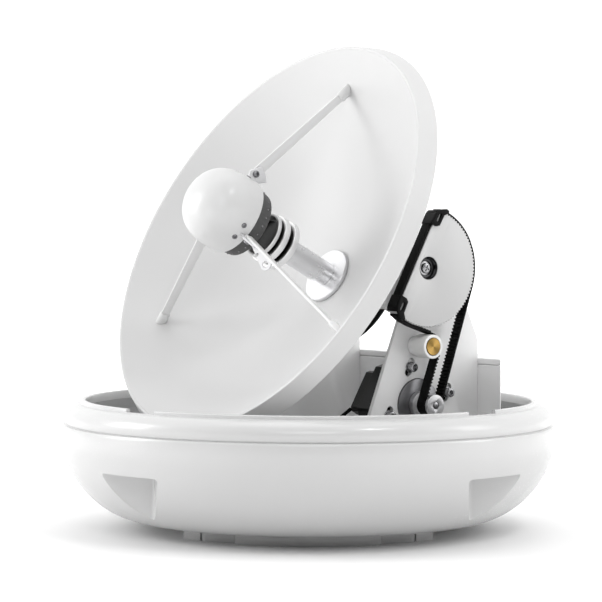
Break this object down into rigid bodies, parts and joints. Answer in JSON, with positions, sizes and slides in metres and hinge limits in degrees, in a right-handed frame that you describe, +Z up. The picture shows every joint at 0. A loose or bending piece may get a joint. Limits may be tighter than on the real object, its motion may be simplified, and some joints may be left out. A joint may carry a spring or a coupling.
{
  "type": "marine satellite antenna",
  "caption": "Stabilised dish antenna without its cover: a round white base pan, a turning frame with side plates, and a tilting dish driven by a belt on a toothed sector.",
  "frame": {"origin": "on the azimuth axis at the level of the feet, which is the middle of the underside", "axes": "+Z up along the azimuth axis, -Y towards the front of the base as pictured, +X to its right; the frame is stored turned so that the dish looks to -X and -Y, and raised by 27.7 degrees"},
  "size_m": [0.43, 0.43, 0.4228],
  "materials": {
    "aluminium": "satin",
    "black_paint": "satin",
    "black_plastic": "satin",
    "black_rubber": "matte",
    "brass": "polished",
    "dark_grey": "satin",
    "dark_steel": "satin",
    "dish_white": "satin",
    "dome_white": "gloss",
    "feed_white": "satin",
    "gloss_white": "gloss",
    "grey_metal": "satin",
    "housing_white": "satin",
    "nylon_white": "satin",
    "painted_white": "satin",
    "sector_white": "satin"
  },
  "bodies": {
    "base": {"azimuth_bearing": "grey_metal", "base_pan": "gloss_white", "foot_pad_left_front": "gloss_white", "foot_pad_left_rear": "gloss_white", "foot_pad_right_front": "gloss_white", "foot_pad_right_rear": "gloss_white", "foot_plate": "gloss_white"},
    "turning_frame": {"drive_belt": "black_rubber", "elevation_motor": "black_paint", "idler_pin": "brass", "idler_post": "painted_white", "motor_lead": "black_rubber", "motor_pilot": "dark_steel", "pivot_bearing_far": "grey_metal", "pivot_bearing_near": "grey_metal", "rear_housing": "housing_white", "rear_housing_lid": "housing_white", "side_plate_far": "painted_white", "side_plate_near": "painted_white", "turntable_plate": "painted_white"},
    "tilting_dish": {"belt_clamp_lower": "black_plastic", "belt_clamp_upper": "black_plastic", "belt_tail": "black_rubber", "dish_hub": "painted_white", "dish_reflector": "dish_white", "feed_flange": "aluminium", "feed_horn": "aluminium", "feed_tube": "aluminium", "pivot_shaft_far": "grey_metal", "pivot_shaft_near": "grey_metal", "receiver": "black_paint", "sector_bush": "dark_steel", "sector_pulley": "sector_white", "strut_bracket_left": "aluminium", "strut_bracket_right": "aluminium", "strut_bracket_top": "aluminium", "strut_left": "feed_white", "strut_right": "feed_white", "strut_top": "feed_white", "subreflector": "dark_grey", "subreflector_dome": "dome_white", "yoke_plate": "painted_white"},
    "pinion": {"drive_pinion": "aluminium", "motor_shaft": "grey_metal"},
    "idler": {"idler_roller": "nylon_white"}
  },
  "joints": [
    {"name": "azimuth", "type": "hinge", "parent": "base", "child": "turning_frame", "pos_m": [0, 0, 0.04], "axis": [0, 0, 1], "range_deg": [-180, 180]},
    {"name": "elevation", "type": "hinge", "parent": "turning_frame", "child": "tilting_dish", "pos_m": [0.0383, 0.02793, 0.2294], "axis": [-0.5892, 0.808, 0], "range_deg": [-17.7, 52.3], "deforming": ["drive_belt"]},
    {"name": "pinion_spin", "type": "hinge", "parent": "turning_frame", "child": "pinion", "pos_m": [0.04282, 0.03123, 0.112], "axis": [-0.5892, 0.808, 0], "range_deg": [-107, 310]},
    {"name": "idler_spin", "type": "hinge", "parent": "turning_frame", "child": "idler", "pos_m": [0.04024, 0.02934, 0.1625], "axis": [-0.5892, 0.808, 0], "range_deg": [-242, 83]}
  ],
  "couplings": [
    {"joint": "pinion_spin", "follows": "elevation", "ratio": 5.88},
    {"joint": "idler_spin", "follows": "elevation", "ratio": -4.573}
  ]
}
